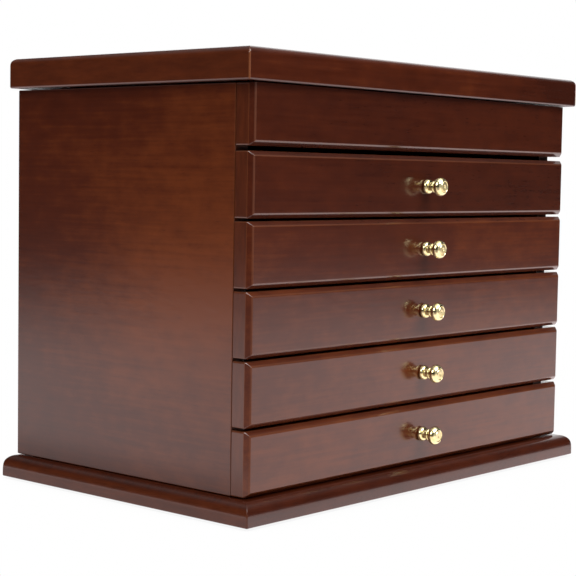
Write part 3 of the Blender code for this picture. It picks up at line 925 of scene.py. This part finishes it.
def build_tray(cloth):
    """The fitted tray under the lid: floor, dividers, padded lining and ring rolls."""
    wood = drawer_wood("tray_wood_look", X, 31.0)
    eased_board("tray_floor", "chest", wood, "drawer_wood", THIN_EASE)
    build_dividers()
    floor_low, floor_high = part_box("tray_floor")
    rim_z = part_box("side_panel_left")[1].z - RIM_DROP
    low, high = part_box("tray_lining")
    long_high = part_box("tray_divider_long")[1]
    cross_low, cross_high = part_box("tray_divider_cross")
    rooms = [(long_high.x, low.y, high.x, cross_low.y), (long_high.x, cross_high.y, high.x, high.y)]
    pad = crowned_pad("tray_pad", low, high, cell=3.5 * MM, compartments=rooms,
                      crown=0.7 * MM, rise=2 * MM)
    place_piece(pad, "chest", cloth, "velvet", "tray_lining")
    wall = wall_lining("tray_wall_velvet", Vector((floor_low.x, floor_low.y, high.z)),
                       Vector((floor_high.x, floor_high.y, rim_z)))
    place_piece(wall, "chest", cloth, "velvet")
    build_ring_rolls(cloth)


ROLL_COUNT = 10
ROLL_ROUND = 0.0060
ROLL_SLACK = 0.0011        # room that a roll starts with on every side, to swell into
ROLL_CLEARANCE = 0.0001    # to its neighbours
CLOTH_CELL = 0.0025
CLOTH_PRESSURE = 4.0
CLOTH_FRAMES = 20


def soften(obj, cap):
    """Inflate a closed form as cloth, and keep each point within cap of where it began."""
    remesh = obj.modifiers.new("even_cells", "REMESH")
    remesh.mode = "VOXEL"
    remesh.voxel_size = CLOTH_CELL
    apply_modifiers(obj)
    before = [vertex.co.copy() for vertex in obj.data.vertices]
    cloth = obj.modifiers.new("cloth", "CLOTH")
    cloth.settings.use_pressure = True
    cloth.settings.uniform_pressure_force = CLOTH_PRESSURE
    cloth.settings.effector_weights.gravity = 0.0
    cloth.settings.quality = 6
    cloth.point_cache.frame_start = 1
    cloth.point_cache.frame_end = CLOTH_FRAMES
    for number in range(1, CLOTH_FRAMES + 1):
        bpy.context.scene.frame_set(number)
    swollen = apply_modifiers(obj)
    bpy.context.scene.frame_set(1)
    for vertex, start in zip(swollen.vertices, before):
        move = vertex.co - start
        if move.length > cap:
            vertex.co = start + move * (cap / move.length)


def build_ring_rolls(cloth):
    """Foam rolls in velvet, side by side, that rings are pushed down between."""
    low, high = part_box("ring_rolls")
    low = low + Vector((WALL_VELVET, WALL_VELVET, 0.0))
    high = high - Vector((0.0, WALL_VELVET, 0.0))
    pitch = (high.y - low.y) / ROLL_COUNT
    half = pitch / 2
    roll = box_object("ring_roll", (low.x + ROLL_SLACK, ROLL_SLACK - half, low.z + ROLL_SLACK),
                      (high.x - ROLL_SLACK, half - ROLL_SLACK, high.z - ROLL_SLACK))
    bevel(roll, ROLL_ROUND, 5)
    apply_modifiers(roll)
    soften(roll, ROLL_SLACK)
    widest = half - ROLL_CLEARANCE
    for vertex in roll.data.vertices:
        vertex.co.z = min(max(vertex.co.z, low.z), high.z)
        vertex.co.y = min(max(vertex.co.y, -widest), widest)
    roll.data.shade_smooth()
    for index in range(ROLL_COUNT):
        piece = new_object(f"ring_roll_{index + 1}", roll.data.copy())
        piece.location.y = low.y + (index + 0.5) * pitch
        smooth = piece.modifiers.new("fine", "SUBSURF")
        smooth.levels = 1
        smooth.render_levels = 1
        nodes = ("ring_rolls",) if index == 0 else ()
        place_piece(piece, "chest", cloth, "velvet", *nodes)
    bpy.data.objects.remove(roll, do_unlink=True)


def build_felt():
    """The sheet of felt that is glued under the base board."""
    low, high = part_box("base_felt")
    felt = box_object("base_felt_finished", low, high)
    bevel(felt, 0.35 * MM, 3)
    settle(felt)
    place_piece(felt, "chest", base_felt(), "base_felt", "base_felt")


# ---------- studio
CAMERA_PLACE = (-0.85551, -0.73332, 0.21117)
CAMERA_YAW = -48.643       # degrees round +Z from facing +Y
CAMERA_PITCH = -4.096
CAMERA_ROLL = 0.941
CAMERA_LENS = 97.36        # mm on a 36 mm sensor
MIDDLE = (0.0, 0.0, 0.14)
# place, size, watts, and whether gloss shows the light: the rear one would whiten the lid's top
SOFTBOXES = {
    "key": ((0.08, -1.42, 1.52), (1.5, 0.9), 43.0, True),
    "left_fill": ((-1.70, -0.15, 1.25), (1.0, 1.0), 21.0, True),
    "overhead": ((0.1, -0.5, 1.9), (1.8, 1.5), 12.0, True),
    "rear_fill": ((0.9, 1.6, 0.9), (1.2, 0.9), 14.0, False),
}
WHITE = (1.0, 1.0, 1.0, 1.0)
FLOOR_GLOW = 1.1           # radiance that lights the chest from below
FLOOR_MIRRORED = 1.65      # radiance that glossy surfaces show
FLOOR_TINT = (1.0, 0.87, 0.86, 1.0)
NEAR_CORNER_WAY = (-0.77, -0.64, 0.0)
FRONT_WALL_WAY = (-0.07, -0.9976, 0.0)     # opposite the opened lid's mirror
FRONT_WALL = 0.45
BACKDROP_WAY = (0.855, 0.452, 0.252)
BACKDROP = 1.1


def add_camera():
    """The photo's camera, solved from its straight edges."""
    data = bpy.data.cameras.new("camera")
    data.sensor_width = 36.0
    data.lens = CAMERA_LENS
    data.clip_start = 0.01
    data.clip_end = 100.0
    camera = new_object("camera", data)
    turn = (Matrix.Rotation(math.radians(CAMERA_YAW), 4, "Z")
            @ Matrix.Rotation(math.radians(90.0 + CAMERA_PITCH), 4, "X")
            @ Matrix.Rotation(math.radians(CAMERA_ROLL), 4, "Z"))
    camera.matrix_world = Matrix.Translation(CAMERA_PLACE) @ turn
    bpy.context.scene.camera = camera


def add_softbox(name, place, size, watts, mirrored):
    """A large soft light that faces the chest and isn't seen by the camera."""
    data = bpy.data.lights.new(name, "AREA")
    data.shape = "RECTANGLE"
    data.size = size[0]
    data.size_y = size[1]
    data.energy = watts
    light = new_object(name, data)
    light.location = place
    aim = Vector(MIDDLE) - Vector(place)
    light.rotation_mode = "QUATERNION"
    light.rotation_quaternion = aim.to_track_quat("-Z", "Y")
    light.visible_camera = False
    light.visible_glossy = mirrored


def front_wall(tree, ahead):
    """Brightness of a pale wall in front of the chest, which only gloss shows. ahead: how
    squarely a heading points at it, up to 1."""
    return ease_between(tree, ahead, 0.84, 0.94, 0.0, FRONT_WALL)


def floor_dimmer(tree, place, away):
    """Share of the pool that gloss shows, with painted shade on the floor: less past the chest's
    nearest corner, a painted shadow in a strip along its left side, and less far out to the left."""
    towards = calc(tree, "DIVIDE", dot(tree, place, NEAR_CORNER_WAY), away)
    sector = ease_between(tree, towards, 0.75, 1.0)
    beyond_corner = ease_between(tree, away, 0.28, 0.45)
    dimmer = calc(tree, "MULTIPLY_ADD", calc(tree, "MULTIPLY", sector, beyond_corner), -0.75, 1.0)
    across = axis_part(tree, place, X)
    left_shadow_strip = calc(tree, "MAXIMUM", ease_between(tree, across, -0.315, -0.235, 1.0, 0.55),
                      ease_between(tree, across, -0.190, -0.175))
    far_left = ease_between(tree, across, -0.6, -1.1, 1.0, 0.80)
    return calc(tree, "MULTIPLY", calc(tree, "MULTIPLY", dimmer, left_shadow_strip), far_left)


def add_floor():
    """A pale sweep: white with a soft contact shadow to the eye, and a pool of light round the
    chest, fading with distance, to what the lacquer and brass reflect."""
    floor = box_object("floor", (-30.0, -30.0, -0.02), (30.0, 30.0, -0.0002))
    mat = bpy.data.materials.new("floor_look")
    mat.use_nodes = True
    tree = mat.node_tree
    tree.nodes.clear()
    rays = add_node(tree, "ShaderNodeLightPath")
    place = object_place(tree)
    away = add_node(tree, "ShaderNodeVectorMath", {0: place}, operation="LENGTH").outputs["Value"]
    contact = add_node(tree, "ShaderNodeAmbientOcclusion", {"Distance": 0.05}, samples=8)
    shade = ease_between(tree, contact.outputs["AO"], 0.0, 0.8, 0.90, 1.0)
    seen = add_node(tree, "ShaderNodeEmission", {"Color": WHITE, "Strength": shade})
    pool = ease_between(tree, away, 0.7, 2.8, 1.0, 0.01)
    glow = calc(tree, "MULTIPLY", pool, FLOOR_GLOW)
    dimmed = calc(tree, "MULTIPLY", pool, floor_dimmer(tree, place, away))
    glossy = calc(tree, "MULTIPLY", dimmed, FLOOR_MIRRORED)
    ahead = calc(tree, "DIVIDE", dot(tree, place, FRONT_WALL_WAY), away)
    glossy = calc(tree, "MAXIMUM", glossy, front_wall(tree, ahead))
    strength = add_node(tree, "ShaderNodeMix",
                        {"Factor": rays.outputs["Is Glossy Ray"], 2: glow, 3: glossy})
    unseen = add_node(tree, "ShaderNodeEmission",
                      {"Color": FLOOR_TINT, "Strength": strength.outputs[0]})
    mixed = add_node(tree, "ShaderNodeMixShader", {0: rays.outputs["Is Camera Ray"],
                                                   1: unseen.outputs[0], 2: seen.outputs[0]})
    add_node(tree, "ShaderNodeOutputMaterial", {"Surface": mixed.outputs[0]})
    floor.data.materials.append(mat)


def add_world():
    """White to the camera. Otherwise a room: a soft ceiling, which gloss only shows high up, the
    front wall, and a bright backdrop to the right and beyond the chest."""
    world = bpy.data.worlds.new("studio")
    bpy.context.scene.world = world
    world.use_nodes = True
    tree = world.node_tree
    tree.nodes.clear()
    rays = add_node(tree, "ShaderNodeLightPath")
    heading = add_node(tree, "ShaderNodeTexCoord").outputs["Generated"]
    up = axis_part(tree, heading, Z)
    lit = ease_between(tree, up, 0.10, 0.9, 0.05, 0.40)
    mirrored = ease_between(tree, up, 0.45, 0.95, 0.015, 0.50)
    wall = front_wall(tree, dot(tree, heading, FRONT_WALL_WAY))
    mirrored = calc(tree, "MAXIMUM", mirrored, wall)
    ceiling = add_node(tree, "ShaderNodeMix", {"Factor": rays.outputs["Is Glossy Ray"],
                                               2: lit, 3: mirrored}).outputs[0]
    beyond = ease_between(tree, dot(tree, heading, BACKDROP_WAY), 0.85, 0.91)
    backdrop = calc(tree, "MULTIPLY", beyond, BACKDROP)
    room = add_node(tree, "ShaderNodeBackground",
                    {"Color": WHITE, "Strength": calc(tree, "MAXIMUM", ceiling, backdrop)})
    sky = add_node(tree, "ShaderNodeBackground", {"Color": WHITE, "Strength": 1.0})
    mixed = add_node(tree, "ShaderNodeMixShader", {0: rays.outputs["Is Camera Ray"],
                                                   1: room.outputs[0], 2: sky.outputs[0]})
    add_node(tree, "ShaderNodeOutputWorld", {"Surface": mixed.outputs[0]})


def add_studio():
    """Camera, room, floor and lights."""
    add_camera()
    add_world()
    add_floor()
    for name, light in SOFTBOXES.items():
        add_softbox(name, *light)
    bpy.context.scene.view_settings.view_transform = "Standard"


# ---------- assembly
add_studio()
build_carcass()
build_lid()
build_knobs()
build_hinges()
for drawer_number in DRAWERS:
    build_drawer(drawer_number)
velvet_cloth = velvet()
build_linings(velvet_cloth)
build_tray(velvet_cloth)
build_felt()
